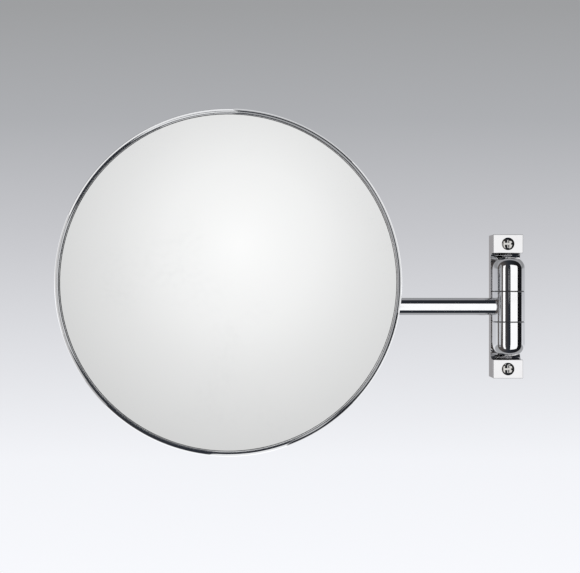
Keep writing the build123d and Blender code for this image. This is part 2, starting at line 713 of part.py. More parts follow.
# Nut plate inside the back cover
plate_face = facing((0, 1, 0), -arm_reach, dish_inside, mirror_rise)
with BuildPart() as hub_plate:
    with BuildSketch(plate_face):
        Circle(hub_plate_d / 2)
        with GridLocations(hub_screw_spacing, hub_screw_spacing, 2, 2):
            Circle(hub_screw_d / 2 + press_gap, mode=Mode.SUBTRACT)
    extrude(amount=-hub_plate_thickness)
hub_plate.part.label = "hub_plate"
export_step(hub_plate.part, "parts/hub_plate.step")

# Back cover, spun from sheet, flat under the hub and falling away to a narrow edge
dish_flat_r = hub_flange_d / 2 + dish_flat_margin
dish_edge_r = rim_inner_r - bedding_gap
with BuildPart() as back_dish:
    with BuildSketch(mirror_plane):
        with BuildLine():
            Line((0, dish_inside), (0, dish_back))
            Line((0, dish_back), (dish_flat_r, dish_back))
            TangentArc((dish_flat_r, dish_back), (cord_r, dish_edge_back), tangent=(1, 0))
            Polyline(
                (cord_r, dish_edge_back),
                (dish_edge_r, dish_edge_back),
                (dish_edge_r, dish_edge_front),
                (cord_r, dish_edge_front),
            )
            TangentArc((dish_flat_r, dish_inside), (cord_r, dish_edge_front), tangent=(1, 0))
            Line((dish_flat_r, dish_inside), (0, dish_inside))
        make_face()
    revolve(axis=mirror_axis)
    with Locations(plate_face.offset(dish_thickness)):
        with GridLocations(hub_screw_spacing, hub_screw_spacing, 2, 2):
            Hole(hub_screw_d / 2 + bedding_gap, depth=dish_thickness)
back_dish.part.label = "back_dish"
export_step(back_dish.part, "parts/back_dish.step")

# Rigid foam pad between the glass and the back cover, with a pocket for the nut plate
pad_r = cord_r - pad_inset
pad_half_r = pad_r / 2
pocket_r = hub_plate_d / 2 + bedding_gap
pad_edge_share = pad_inset / (cord_r - dish_flat_r)
pad_edge_back = dish_edge_front + (dish_inside - dish_edge_front) * pad_edge_share
with BuildPart() as backing_pad:
    with BuildSketch(mirror_plane):
        with BuildLine():
            ThreePointArc(
                (0, glass_back + bedding_gap),
                (pad_half_r, glass_back + bedding_gap - sag(glass_back_curvature, pad_half_r)),
                (pad_r, glass_back + bedding_gap - sag(glass_back_curvature, pad_r)),
            )
            Polyline(
                (pad_r, glass_back + bedding_gap - sag(glass_back_curvature, pad_r)),
                (pad_r, pad_edge_back - bedding_gap),
                (dish_flat_r, dish_inside - bedding_gap),
                (pocket_r, dish_inside - bedding_gap),
                (pocket_r, pad_back),
                (0, pad_back),
                (0, glass_back + bedding_gap),
            )
        make_face()
    revolve(axis=mirror_axis)
backing_pad.part.label = "backing_pad"
export_step(backing_pad.part, "parts/backing_pad.step")

# Rubber cord that presses the glass forward, held by the back cover's edge
with BuildPart() as retaining_ring:
    with BuildSketch(facing((0, 1, 0), -arm_reach, cord_front, mirror_rise)):
        Circle(glass_r)
        Circle(cord_r, mode=Mode.SUBTRACT)
    extrude(amount=cord_thickness)
retaining_ring.part.label = "retaining_ring"
export_step(retaining_ring.part, "parts/retaining_ring.step")

# Mirror glass, bent to a hollow front and silvered behind
glass_half_r = glass_r / 2
with BuildPart() as mirror_glass:
    with BuildSketch(mirror_plane):
        with BuildLine():
            ThreePointArc(
                (0, glass_front),
                (glass_half_r, glass_front - sag(glass_radius_of_curvature, glass_half_r)),
                (glass_r, glass_edge_front),
            )
            Line((glass_r, glass_edge_front), (glass_r, glass_edge_back))
            ThreePointArc(
                (glass_r, glass_edge_back),
                (glass_half_r, glass_back - sag(glass_back_curvature, glass_half_r)),
                (0, glass_back),
            )
            Line((0, glass_back), (0, glass_front))
        make_face()
    revolve(axis=mirror_axis)
mirror_glass.part.label = "mirror_glass"
export_step(mirror_glass.part, "parts/mirror_glass.step")

# Flat gasket between the rim's lip and the glass
with BuildPart() as glass_gasket:
    with BuildSketch(facing((0, 1, 0), -arm_reach, lip_back, mirror_rise)):
        Circle(glass_r)
        Circle(lip_r - gasket_proud, mode=Mode.SUBTRACT)
    extrude(amount=gasket_thickness)
glass_gasket.part.label = "glass_gasket"
export_step(glass_gasket.part, "parts/glass_gasket.step")

# Bead rim, rolled over the edge of the back cover
crimp_r = rim_r - rim_crimp_width
with BuildPart() as rim_ring:
    with BuildSketch(mirror_plane) as rim_profile:
        with BuildLine():
            Polyline(
                (lip_r, lip_back),
                (lip_r, rim_front),
                (rim_r, rim_front),
                (rim_r, rim_back),
                (crimp_r, rim_back),
                (crimp_r, dish_edge_back),
                (rim_inner_r, dish_edge_back),
                (rim_inner_r, lip_back),
                close=True,
            )
        make_face()
        lip_corners = rim_profile.vertices().filter_by_position(Axis.Y, rim_front, lip_back)
        fillet(lip_corners.group_by(Axis.X)[0], rim_nose_fillet)
        fillet(rim_profile.vertices().group_by(Axis.X)[-1].sort_by(Axis.Y)[0], rim_front_fillet)
        fillet(rim_profile.vertices().group_by(Axis.Y)[-1].sort_by(Axis.X)[-1], rim_crimp_fillet)
    revolve(axis=mirror_axis)
rim_ring.part.label = "rim_ring"
export_step(rim_ring.part, "parts/rim_ring.step")
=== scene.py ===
"""Looks of a wall-mounted swing-arm shaving mirror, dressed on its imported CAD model.

Metres, in the model's own frame: the wall is Y = 0, the room is on its -Y side and +Z is up.
"""

from math import cos, pi, radians, sin, tan

import bpy
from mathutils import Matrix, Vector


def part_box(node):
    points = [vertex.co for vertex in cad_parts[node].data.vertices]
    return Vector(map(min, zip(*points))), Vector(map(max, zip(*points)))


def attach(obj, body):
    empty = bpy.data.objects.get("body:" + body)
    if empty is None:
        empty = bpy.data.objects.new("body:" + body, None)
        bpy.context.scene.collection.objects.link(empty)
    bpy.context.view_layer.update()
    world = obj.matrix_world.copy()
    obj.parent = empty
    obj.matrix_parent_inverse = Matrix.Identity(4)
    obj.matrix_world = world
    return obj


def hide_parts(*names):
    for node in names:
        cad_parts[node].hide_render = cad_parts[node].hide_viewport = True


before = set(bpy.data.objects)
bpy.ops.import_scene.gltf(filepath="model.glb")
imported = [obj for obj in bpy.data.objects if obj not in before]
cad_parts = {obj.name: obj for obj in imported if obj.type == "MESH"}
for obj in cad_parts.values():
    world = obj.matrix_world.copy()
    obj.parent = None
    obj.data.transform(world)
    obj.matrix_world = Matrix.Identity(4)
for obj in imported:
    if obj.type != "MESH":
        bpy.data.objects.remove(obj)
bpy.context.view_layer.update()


# Wall bracket
# A C-shaped bar of brass, milled, polished by hand and chrome plated. Two screws hold it to the
# wall, and the barrel hinge stands in its recess.
def new_effect(name, inputs, outputs):
    """An empty shader group with named sockets, and its input and output nodes."""
    effect = bpy.data.node_groups.new(name, "ShaderNodeTree")
    for label, kind, value in inputs:
        socket = effect.interface.new_socket(label, in_out="INPUT", socket_type=kind)
        socket.default_value = value
    for label, kind in outputs:
        effect.interface.new_socket(label, in_out="OUTPUT", socket_type=kind)
    entry = effect.nodes.new("NodeGroupInput")
    leave = effect.nodes.new("NodeGroupOutput")
    return effect, entry, leave


def add_node(tree, kind, settings=None, values=None):
    """A node with its settings, and values on its input sockets."""
    node = tree.nodes.new(kind)
    for label, value in (settings or {}).items():
        setattr(node, label, value)
    for label, value in (values or {}).items():
        node.inputs[label].default_value = value
    return node


def feed(tree, value, socket):
    """Sets a plain number on a socket, or links another node's output to it."""
    if isinstance(value, float):
        socket.default_value = value
    else:
        tree.links.new(value, socket)


def piece_place(tree):
    """The place of a point on its piece."""
    return add_node(tree, "ShaderNodeTexCoord").outputs["Object"]


def soft_noise(tree, place, scale, detail, roughness=0.5):
    """Smooth noise over the piece, from 0 to 1, at a scale in waves per metre."""
    noise_values = {"Detail": detail, "Roughness": roughness}
    noise = add_node(tree, "ShaderNodeTexNoise", values=noise_values)
    tree.links.new(place, noise.inputs["Vector"])
    feed(tree, scale, noise.inputs["Scale"])
    return noise.outputs["Fac"]


def between(tree, value, low, high, out_low=0.0, out_high=1.0):
    """A value taken smoothly from one range to another."""
    settings = {"interpolation_type": "SMOOTHSTEP"}
    values = {"From Min": low, "From Max": high, "To Min": out_low, "To Max": out_high}
    node = add_node(tree, "ShaderNodeMapRange", settings, values)
    tree.links.new(value, node.inputs["Value"])
    return node.outputs["Result"]


def combined(tree, operation, first, second):
    """Two values joined by a sum, a product or the like. The second may be a plain number."""
    node = add_node(tree, "ShaderNodeMath", {"operation": operation})
    tree.links.new(first, node.inputs[0])
    feed(tree, second, node.inputs[1])
    return node.outputs["Value"]


# Marks that hands and a cloth leave on a polished surface: cloudy patches with fine streaks
cloud_detail, cloud_start, cloud_full = 4.0, 0.48, 0.72
streak_detail, streak_start, streak_full = 2.0, 0.35, 0.75
streak_least = 0.35
hand_marks, marks_in, marks_out = new_effect(
    "hand_marks",
    [("Waves", "NodeSocketFloat", 60.0), ("Streaks", "NodeSocketFloat", 900.0)],
    [("Mask", "NodeSocketFloat")],
)
marks_place = piece_place(hand_marks)
cloud = soft_noise(hand_marks, marks_place, marks_in.outputs["Waves"], cloud_detail)
cloud = between(hand_marks, cloud, cloud_start, cloud_full)
streak = soft_noise(hand_marks, marks_place, marks_in.outputs["Streaks"], streak_detail)
streak = between(hand_marks, streak, streak_start, streak_full, streak_least)
marks_mask = combined(hand_marks, "MULTIPLY", cloud, streak)
hand_marks.links.new(marks_mask, marks_out.inputs["Mask"])

# The slow waviness that buffing leaves under the plating
wave_detail = 1.0
buffed_waves, waves_in, waves_out = new_effect(
    "buffed_waves",
    [("Waves", "NodeSocketFloat", 120.0)],
    [("Height", "NodeSocketFloat")],
)
waves_place = piece_place(buffed_waves)
wave_height = soft_noise(buffed_waves, waves_place, waves_in.outputs["Waves"], wave_detail)
buffed_waves.links.new(wave_height, waves_out.inputs["Height"])


def new_material(name):
    """A material with only its Principled shader and output."""
    material = bpy.data.materials.new(name)
    material.use_nodes = True
    return material, material.node_tree, material.node_tree.nodes["Principled BSDF"]


def new_metal(name):
    """A material that is metal all over."""
    material, tree, shader = new_material(name)
    shader.inputs["Metallic"].default_value = 1.0
    return material, tree, shader


def place_effect(tree, effect, values):
    """A shared effect, placed in a material with its own values."""
    return add_node(tree, "ShaderNodeGroup", {"node_tree": effect}, values)


def tinted(tree, mask, clean, marked):
    """A colour that goes from clean to marked along a mask."""
    mix = add_node(tree, "ShaderNodeMix", {"data_type": "RGBA"})
    mix.inputs["A"].default_value = (*clean, 1.0)
    mix.inputs["B"].default_value = (*marked, 1.0)
    tree.links.new(mask, mix.inputs["Factor"])
    return mix.outputs["Result"]


def surfaced(tree, shader, mask, tones, roughness):
    """Colour and roughness of a surface, each from its clean to its marked value along a mask."""
    tree.links.new(tinted(tree, mask, *tones), shader.inputs["Base Color"])
    tree.links.new(between(tree, mask, 0.0, 1.0, *roughness), shader.inputs["Roughness"])


def raised(tree, shader, height, distance, strength):
    """Relief on a surface, from a height that varies over it."""
    bump = add_node(tree, "ShaderNodeBump", values={"Distance": distance, "Strength": strength})
    tree.links.new(height, bump.inputs["Height"])
    tree.links.new(bump.outputs["Normal"], shader.inputs["Normal"])


def chrome_plate(name, clean, patch_waves, buff_waves, buff_strength):
    """Polished plating on brass: a bright mirror finish with faint cloth marks."""
    marked_share = 0.93
    plate_roughness = (0.035, 0.085)
    buff_depth = 0.0002
    material, tree, shader = new_metal(name)
    marks = place_effect(tree, hand_marks, {"Waves": patch_waves})
    waves = place_effect(tree, buffed_waves, {"Waves": buff_waves})
    marked = tuple(marked_share * channel for channel in clean)
    surfaced(tree, shader, marks.outputs["Mask"], (clean, marked), plate_roughness)
    raised(tree, shader, waves.outputs["Height"], buff_depth, buff_strength)
    return material


def dress(material, *nodes):
    """Puts a finish on CAD pieces, whose shapes stay as they are."""
    for node in nodes:
        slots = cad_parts[node].data.materials
        slots.clear()
        slots.append(material)


bracket_tone = (0.67, 0.665, 0.67)
bracket_chrome = chrome_plate(
    "bracket_chrome", bracket_tone, patch_waves=70.0, buff_waves=140.0, buff_strength=0.12
)
dress(bracket_chrome, "wall_bracket")


# Wall screws
# Two steel wood screws with raised heads and a cross recess, nickel plated. They are driven
# through the end blocks into the wall.
screw_tone = (0.5, 0.49, 0.475)
screw_nickel = chrome_plate(
    "screw_nickel", screw_tone, patch_waves=260.0, buff_waves=420.0, buff_strength=0.2
)
dress(screw_nickel, "wall_screws")


# Fixed knuckles
# The two outer segments of the barrel hinge, turned from brass bar, polished and chrome plated.
# A seat at the back of each is screwed to the bracket.
chrome = (0.74, 0.745, 0.755)
barrel_chrome = chrome_plate(
    "barrel_chrome", chrome, patch_waves=90.0, buff_waves=90.0, buff_strength=0.04
)
dress(barrel_chrome, "upper_knuckle", "lower_knuckle")


# Knuckle screws, hinge pin and disc spring
# The screws come through the bracket from behind, and the pin runs through all three segments.
# They are turned from steel, zinc plated, and the spring is hardened and oiled.
def line_noise(tree, distance, scale, detail):
    """Noise that changes along one distance alone, for fine lines and rings."""
    noise = add_node(tree, "ShaderNodeTexNoise", {"noise_dimensions": "1D"}, {"Detail": detail})
    tree.links.new(distance, noise.inputs["W"])
    feed(tree, scale, noise.inputs["Scale"])
    return noise.outputs["Fac"]


# The fine lines that a cutter leaves round a turned piece, with cloudy stains along them
line_detail = 3.0
stain_waves, stain_detail = 180.0, 3.0
tone_start, tone_full = 0.1, 0.4
turned_lines, turned_in, turned_out = new_effect(
    "turned_lines",
    [("Along", "NodeSocketVector", (0.0, 0.0, 1.0)), ("Lines", "NodeSocketFloat", 2500.0)],
    [("Height", "NodeSocketFloat"), ("Tone", "NodeSocketFloat")],
)
turned_place = piece_place(turned_lines)
turned_axis = add_node(turned_lines, "ShaderNodeVectorMath", {"operation": "DOT_PRODUCT"})
turned_lines.links.new(turned_place, turned_axis.inputs[0])
turned_lines.links.new(turned_in.outputs["Along"], turned_axis.inputs[1])
turned_distance = turned_axis.outputs["Value"]
turned_line = line_noise(turned_lines, turned_distance, turned_in.outputs["Lines"], line_detail)
turned_lines.links.new(turned_line, turned_out.inputs["Height"])
turned_stain = soft_noise(turned_lines, turned_place, stain_waves, stain_detail)
turned_tone = combined(turned_lines, "MULTIPLY", turned_line, turned_stain)
turned_tone = between(turned_lines, turned_tone, tone_start, tone_full)
turned_lines.links.new(turned_tone, turned_out.inputs["Tone"])


def turned_metal(name, along, tones, roughness):
    """Metal from the lathe, with the cutter's fine lines across a direction."""
    cut_depth, cut_strength = 0.00004, 0.25
    material, tree, shader = new_metal(name)
    lines = place_effect(tree, turned_lines, {"Along": along})
    surfaced(tree, shader, lines.outputs["Tone"], tones, roughness)
    raised(tree, shader, lines.outputs["Height"], cut_depth, cut_strength)
    return material


upward = (0.0, 0.0, 1.0)
outward = (0.0, 1.0, 0.0)
sideways = (1.0, 0.0, 0.0)
zinc_tones = (0.66, 0.67, 0.68), (0.52, 0.53, 0.55)
spring_tones, spring_roughness = ((0.33, 0.33, 0.36), (0.17, 0.17, 0.19)), (0.3, 0.5)
knuckle_screw_steel = turned_metal(
    "knuckle_screw_steel", outward, zinc_tones, roughness=(0.22, 0.4)
)
dress(knuckle_screw_steel, "knuckle_screws")
pin_steel = turned_metal("pin_steel", upward, zinc_tones, roughness=(0.16, 0.3))
dress(pin_steel, "hinge_pin")
spring_steel = turned_metal("spring_steel", upward, spring_tones, spring_roughness)
dress(spring_steel, "hinge_spring")


# Arm knuckle with its bushes and washers
# The middle segment of the barrel turns with the arm. Bronze bushes are pressed into its bore, and
# black nylon washers stand in the two seams.
dress(barrel_chrome, "arm_knuckle")


def sintered_bronze(name):
    """Pressed and sintered bronze: fine pores, dark with oil."""
    bronze_tones, bronze_roughness = ((0.66, 0.46, 0.24), (0.3, 0.2, 0.1)), (0.32, 0.6)
    pore_waves, pore_detail = 2600.0, 2.0
    pore_start, pore_full = 0.5, 0.68
    pore_depth, pore_strength = 0.00005, -0.3
    material, tree, shader = new_metal(name)
    pores = soft_noise(tree, piece_place(tree), pore_waves, pore_detail)
    pores = between(tree, pores, pore_start, pore_full)
    surfaced(tree, shader, pores, bronze_tones, bronze_roughness)
    raised(tree, shader, pores, pore_depth, pore_strength)
    return material


bush_bronze = sintered_bronze("bush_bronze")
dress(bush_bronze, "hinge_bushes")

# The fine even grain of a moulded piece
grain_detail, grain_roughness = 4.0, 0.6
grain_start, grain_full = 0.3, 0.7
moulded_grain, grain_in, grain_out = new_effect(
    "moulded_grain",
    [("Waves", "NodeSocketFloat", 1500.0)],
    [("Height", "NodeSocketFloat"), ("Mask", "NodeSocketFloat")],
)
grain_place, grain_waves = piece_place(moulded_grain), grain_in.outputs["Waves"]
grain = soft_noise(moulded_grain, grain_place, grain_waves, grain_detail, grain_roughness)
moulded_grain.links.new(grain, grain_out.inputs["Height"])
grain_mask = between(moulded_grain, grain, grain_start, grain_full)
moulded_grain.links.new(grain_mask, grain_out.inputs["Mask"])


def moulded(name, tones, roughness, waves, depth):
    """A moulded material: nylon, rubber or rigid foam."""
    grain_strength = 0.3
    material, tree, shader = new_material(name)
    grained = place_effect(tree, moulded_grain, {"Waves": waves})
    height = grained.outputs["Height"]
    tint = tinted(tree, grained.outputs["Mask"], *tones)
    tree.links.new(tint, shader.inputs["Base Color"])
    gloss = between(tree, height, grain_start, grain_full, *roughness)
    tree.links.new(gloss, shader.inputs["Roughness"])
    raised(tree, shader, height, depth, grain_strength)
    return material


nylon_tones, nylon_roughness = ((0.035, 0.035, 0.04), (0.06, 0.06, 0.065)), (0.4, 0.55)
washer_nylon = moulded("washer_nylon", nylon_tones, nylon_roughness, waves=1800.0, depth=0.00003)
dress(washer_nylon, "hinge_washers")


# Arm tube and end knuckle
# A drawn brass tube, brazed into the barrel at one end and into the lower half of the swivel barrel
# at the other, then polished and plated in one piece.
tube_chrome = chrome_plate(
    "tube_chrome", chrome, patch_waves=60.0, buff_waves=60.0, buff_strength=0.03
)
dress(tube_chrome, "arm_tube", "end_knuckle")


# Swivel joint
# The upper half of the swivel barrel turns on a steel pin in a bronze bush. A nut and two disc
# springs give it drag, under a pressed-in cap.
dress(pin_steel, "swivel_pin")
dress(turned_metal("nut_steel", upward, zinc_tones, roughness=(0.2, 0.36)), "swivel_nut")
dress(spring_steel, "swivel_springs")
dress(bush_bronze, "swivel_bush")
dress(washer_nylon, "swivel_washer")
dress(tube_chrome, "swivel_knuckle", "swivel_cap")


# Tilt joint
# The eye on the swivel barrel sits between two lugs of the mirror's hub. A cap-head bolt clamps
# them through bronze bushes, nylon washers and a disc spring.
dress(bush_bronze, "tilt_bushes")
dress(washer_nylon, "tilt_washers")
tilt_bolt_steel = turned_metal("tilt_bolt_steel", sideways, zinc_tones, roughness=(0.18, 0.34))
dress(tilt_bolt_steel, "tilt_bolt", "tilt_nut")
tilt_spring_steel = turned_metal("tilt_spring_steel", sideways, spring_tones, spring_roughness)
dress(tilt_spring_steel, "tilt_spring")
hub_chrome = chrome_plate(
    "hub_chrome", chrome, patch_waves=80.0, buff_waves=100.0, buff_strength=0.05
)
dress(hub_chrome, "mirror_hub")


# Hub screws and nut plate
# Four countersunk steel screws clamp the hub to the back cover. They are threaded into a round
# steel plate that lies inside the cover.
hub_screw_steel = turned_metal("hub_screw_steel", outward, zinc_tones, roughness=(0.2, 0.36))
dress(hub_screw_steel, "hub_screws", "hub_plate")


# Back cover
# A shallow dish, spun from brass sheet over a former, polished on the lathe and chrome plated. Its
# edge is held by the rim.
dish_low, dish_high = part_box("back_dish")
dish_centre = (dish_low + dish_high) / 2


def spun_chrome(name, centre):
    """Chrome on spun sheet, with the faint rings that the lathe leaves round the centre."""
    spun_tones, spun_roughness = (chrome, (0.69, 0.69, 0.7)), (0.06, 0.12)
    patch_waves = 40.0
    ring_waves, ring_detail = 900.0, 2.0
    ring_depth, ring_strength = 0.00005, 0.08
    material, tree, shader = new_metal(name)
    marks = place_effect(tree, hand_marks, {"Waves": patch_waves})
    surfaced(tree, shader, marks.outputs["Mask"], spun_tones, spun_roughness)
    reach = add_node(tree, "ShaderNodeVectorMath", {"operation": "DISTANCE"})
    tree.links.new(piece_place(tree), reach.inputs[0])
    reach.inputs[1].default_value = centre
    rings = line_noise(tree, reach.outputs["Value"], ring_waves, ring_detail)
    raised(tree, shader, rings, ring_depth, ring_strength)
    return material


dress(spun_chrome("dish_chrome", dish_centre), "back_dish")


# Backing pad, cord and gasket
# What beds the glass: a rigid foam pad behind it, a rubber cord that pushes its edge forward, and a
# thin rubber gasket under the rim's lip.
foam_tones, foam_roughness = ((0.2, 0.2, 0.21), (0.33, 0.33, 0.34)), (0.85, 0.98)
pad_foam = moulded("pad_foam", foam_tones, foam_roughness, waves=700.0, depth=0.0004)
dress(pad_foam, "backing_pad")
rubber_tones, rubber_roughness = ((0.022, 0.022, 0.023), (0.04, 0.04, 0.042)), (0.55, 0.75)
bedding_rubber = moulded(
    "bedding_rubber", rubber_tones, rubber_roughness, waves=1500.0, depth=0.00004
)
dress(bedding_rubber, "retaining_ring", "glass_gasket")


# Mirror glass
# A round of clear glass bent to a hollow front and silvered behind, so that it magnifies. Cleaning
# leaves a faint haze on it.
def silvered_glass(name):
    """Back-silvered glass: a clear bright mirror under a hard glossy face."""
    glass_tones, glass_roughness = ((0.945, 0.95, 0.948), (0.925, 0.93, 0.93)), (0.004, 0.02)
    haze_waves, haze_streaks = 18.0, 240.0
    material, tree, shader = new_metal(name)
    marks = place_effect(tree, hand_marks, {"Waves": haze_waves, "Streaks": haze_streaks})
    surfaced(tree, shader, marks.outputs["Mask"], glass_tones, glass_roughness)
    return material


def spun_mesh(name, outline, axis_x, axis_z, steps):
    """A ring or disc spun round an axis along Y, from its outline of (radius, depth)."""
    sharp_angle = radians(35)
    points, rings = [], []
    for radius, depth in outline:
        count = steps if radius > 0 else 1
        rings.append([len(points) + step % count for step in range(steps)])
        for step in range(count):
            turn = 2 * pi * step / steps
            points.append((axis_x + radius * cos(turn), depth, axis_z + radius * sin(turn)))
    faces = []
    for near, far in zip(rings, rings[1:] + rings[:1]):
        for step in range(steps):
            after = (step + 1) % steps
            corners = list(dict.fromkeys((near[step], near[after], far[after], far[step])))
            if len(corners) > 2:
                faces.append(corners)
    mesh = bpy.data.meshes.new(name)
    mesh.from_pydata(points, [], faces)
    mesh.shade_smooth()
    mesh.set_sharp_from_angle(angle=sharp_angle)
    piece = bpy.data.objects.new(name, mesh)
    bpy.context.scene.collection.objects.link(piece)
    return piece


glass_low, glass_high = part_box("mirror_glass")
glass_x, glass_z = (glass_low.x + glass_high.x) / 2, (glass_low.z + glass_high.z) / 2
glass_r = (glass_high.x - glass_low.x) / 2
glass_hollow, glass_thick = 1.2, 0.003
glass_rings, glass_steps = 56, 240


def hollowed(curvature, radius):
    """How far a hollow face comes forward at a distance from its centre."""
    return curvature - (curvature**2 - radius**2) ** 0.5


glass_radii = [glass_r * ring / glass_rings for ring in range(glass_rings + 1)]
glass_front = glass_low.y + hollowed(glass_hollow, glass_r)
glass_outline = [(r, glass_front - hollowed(glass_hollow, r)) for r in glass_radii]
back_hollow, glass_back = glass_hollow + glass_thick, glass_front + glass_thick
glass_outline += [(r, glass_back - hollowed(back_hollow, r)) for r in reversed(glass_radii)]
glass = spun_mesh("bent_glass", glass_outline, glass_x, glass_z, glass_steps)
glass.data.materials.append(silvered_glass("silvered_glass"))
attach(glass, "mirror")
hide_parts("mirror_glass")


# Bead rim
# A ring rolled from brass strip, its front turned in as a rounded bead over the glass and its back
# rolled over the cover. It is polished and chrome plated.
rim_low, rim_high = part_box("rim_ring")
rim_r = (rim_high.x - rim_low.x) / 2
lip_width, lip_thick, lip_flat = 0.0035, 0.0019, 0.001
nose_round, crimp_round = 0.00085, 0.0008
rim_wall, crimp_width, crimp_thick = 0.0014, 0.0045, 0.001
front_round = lip_width - nose_round - lip_flat
round_steps, rim_steps = 14, 480


def rounded(radius, depth, size, start):
    """A quarter turn in the rim's outline about a centre, from an angle in degrees."""
    turns = [radians(start + 90 * step / round_steps) for step in range(round_steps + 1)]
    return [(radius + size * cos(turn), depth + size * sin(turn)) for turn in turns]


lip_r, lip_back = rim_r - lip_width, rim_low.y + lip_thick
rim_outline = [(rim_r - rim_wall, lip_back)]
rim_outline += rounded(lip_r + nose_round, lip_back - nose_round, nose_round, 90)
rim_outline += rounded(lip_r + nose_round, rim_low.y + nose_round, nose_round, 180)
rim_outline += rounded(rim_r - front_round, rim_low.y + front_round, front_round, 270)
rim_outline += rounded(rim_r - crimp_round, rim_high.y - crimp_round, crimp_round, 0)
rim_outline.append((rim_r - crimp_width, rim_high.y))
rim_outline.append((rim_r - crimp_width, rim_high.y - crimp_thick))
rim_outline.append((rim_r - rim_wall, rim_high.y - crimp_thick))
rim = spun_mesh("rolled_rim", rim_outline, glass_x, glass_z, rim_steps)
rim_chrome = chrome_plate(
    "rim_chrome", chrome, patch_waves=50.0, buff_waves=50.0, buff_strength=0.02
)
rim.data.materials.append(rim_chrome)
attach(rim, "mirror")
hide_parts("rim_ring")


# Floor and backdrop
# A sweep of pale paper, well behind the object, which is lit from grey above to white below. It
# starts behind the object, so that polished metal sees it only on its far side.
sweep_near, sweep_far = 0.25, 1.6
sweep_floor, sweep_top = -0.7, 2.4
sweep_half_width = 16.0
sweep_bend = 0.5
bend_steps = 16


def stage_piece(name, points, faces, in_view):
    """A piece of the studio, which the camera may be kept from seeing."""
    mesh = bpy.data.meshes.new(name)
    mesh.from_pydata(points, [], faces)
    piece = bpy.data.objects.new(name, mesh)
    piece.visible_camera = in_view
    bpy.context.scene.collection.objects.link(piece)
    return piece


sweep_line = [(sweep_near, sweep_floor)]
for step in range(bend_steps + 1):
    turn = pi / 2 * step / bend_steps
    depth = sweep_far - sweep_bend + sweep_bend * sin(turn)
    sweep_line.append((depth, sweep_floor + sweep_bend - sweep_bend * cos(turn)))
sweep_line.append((sweep_far, sweep_top))
sweep_points = [(side * sweep_half_width, y, z) for y, z in sweep_line for side in (-1, 1)]
sweep_faces = [(2 * i, 2 * i + 1, 2 * i + 3, 2 * i + 2) for i in range(len(sweep_line) - 1)]
sweep = stage_piece("paper_sweep", sweep_points, sweep_faces, in_view=True)


def graded(tree, value, stops):
    """A colour ramp over a value from 0 to 1, from its stops of (place, colour)."""
    ramp = add_node(tree, "ShaderNodeValToRGB")
    ramp.color_ramp.elements.remove(ramp.color_ramp.elements[1])
    ramp.color_ramp.elements[0].position = stops[0][0]
    ramp.color_ramp.elements[0].color = (*stops[0][1], 1.0)
    for place, colour in stops[1:]:
        ramp.color_ramp.elements.new(place).color = (*colour, 1.0)
    tree.links.new(value, ramp.inputs["Fac"])
    return ramp.outputs["Color"]


def seen_directly(tree):
    """1 for rays that show the backdrop as it is: from the camera, and through gloss or glass."""
    path = add_node(tree, "ShaderNodeLightPath")
    shown = combined(tree, "MAXIMUM", path.outputs["Is Camera Ray"], path.outputs["Is Glossy Ray"])
    return combined(tree, "MAXIMUM", shown, path.outputs["Is Transmission Ray"])


def split_axes(tree, vector):
    """The X, Y and Z of a place or a direction."""
    axes = add_node(tree, "ShaderNodeSeparateXYZ")
    tree.links.new(vector, axes.inputs["Vector"])
    return axes.outputs


def show(tree, shader_output):
    """Gives a material its surface."""
    tree.links.new(shader_output, tree.nodes["Material Output"].inputs["Surface"])


paper_bottom, paper_top = -0.7, 0.54
paper_roughness = 0.9
paper_tones = [
    (0.0, (0.46, 0.465, 0.48)),
    (0.145, (0.94, 0.95, 0.985)),
    (0.316, (0.895, 0.905, 0.94)),
    (0.658, (0.565, 0.57, 0.598)),
    (0.829, (0.42, 0.428, 0.448)),
    (1.0, (0.342, 0.347, 0.356)),
]
paper, paper_tree, paper_matt = new_material("sweep_paper")
paper_height = split_axes(paper_tree, piece_place(paper_tree))["Z"]
height_span = {"From Min": paper_bottom, "From Max": paper_top}
paper_share = add_node(paper_tree, "ShaderNodeMapRange", values=height_span)
paper_tree.links.new(paper_height, paper_share.inputs["Value"])
paper_colour = graded(paper_tree, paper_share.outputs["Result"], paper_tones)
paper_matt.inputs["Roughness"].default_value = paper_roughness
paper_tree.links.new(paper_colour, paper_matt.inputs["Base Color"])
paper_glow = add_node(paper_tree, "ShaderNodeEmission")
paper_tree.links.new(paper_colour, paper_glow.inputs["Color"])
paper_mix = add_node(paper_tree, "ShaderNodeMixShader")
paper_tree.links.new(seen_directly(paper_tree), paper_mix.inputs["Fac"])
paper_tree.links.new(paper_matt.outputs["BSDF"], paper_mix.inputs[1])
paper_tree.links.new(paper_glow.outputs["Emission"], paper_mix.inputs[2])
show(paper_tree, paper_mix.outputs["Shader"])
sweep.data.materials.append(paper)


# Studio light
# A tall wide softbox to the right of the camera and a narrow one to its left, with dark cloth
# between and beside them. Polished metal shows them as bright and dark bands.
softbox_distance = 6.0
softbox_bottom, softbox_top = -7.5, 4.8
facing_back = (90, 0)


def soft_light(name, place, facing, size, brightness):
    """A flat soft light, turned in degrees about X and Y, that the camera doesn't see."""
    lamp = bpy.data.lights.new(name, "AREA")
    lamp.shape = "RECTANGLE"
    lamp.size, lamp.size_y = size
    lamp.energy = brightness * pi * lamp.size * lamp.size_y
    holder = bpy.data.objects.new(name, lamp)
    holder.location = place
    holder.rotation_euler = (radians(facing[0]), radians(facing[1]), 0)
    holder.visible_camera = False
    bpy.context.scene.collection.objects.link(holder)
    return holder


